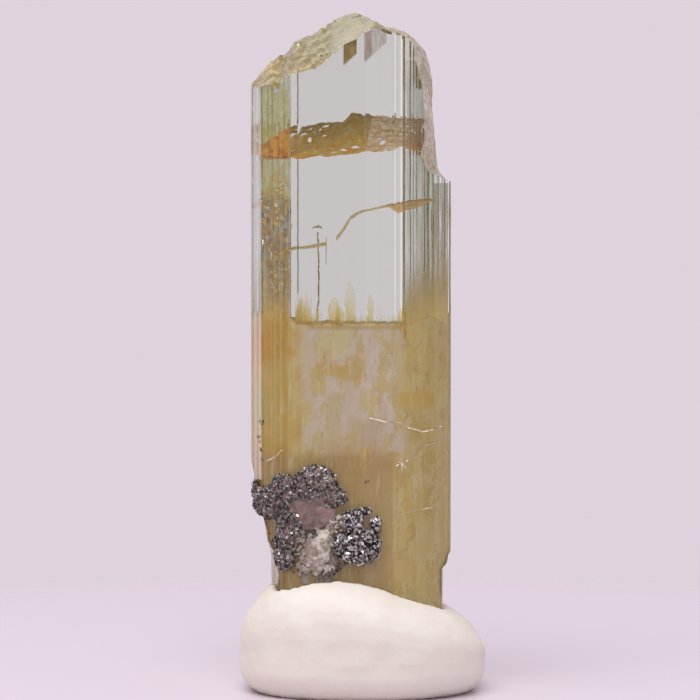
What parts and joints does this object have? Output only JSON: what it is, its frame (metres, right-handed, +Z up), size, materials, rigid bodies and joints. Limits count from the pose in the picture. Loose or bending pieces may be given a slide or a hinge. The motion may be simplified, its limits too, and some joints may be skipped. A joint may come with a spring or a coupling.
{
  "type": "tanzanite crystal on putty stand",
  "caption": "Upright flattened tanzanite prism with a broken sloping top, graphite crusts low on its front, and its foot pressed into a rounded lump of white putty.",
  "frame": {"origin": "under the middle of the putty stand, on the surface it rests on", "axes": "+Z up along the crystal, -Y out of the crystal's wide front that carries the graphite, +X to that front's right"},
  "size_m": [0.012, 0.0106, 0.0338],
  "materials": {
    "tanzanite": "glassy striated faces, clear lilac grey above and cloudy golden brown below",
    "graphite": "sparkling metallic flakes",
    "calcite": "frosted",
    "putty": "smooth matt"
  },
  "bodies": {
    "root": {"tanzanite_crystal": "tanzanite", "graphite_crust_left": "graphite", "graphite_crust_right": "graphite", "calcite_patch": "calcite", "putty_stand": "putty"}
  },
  "joints": []
}
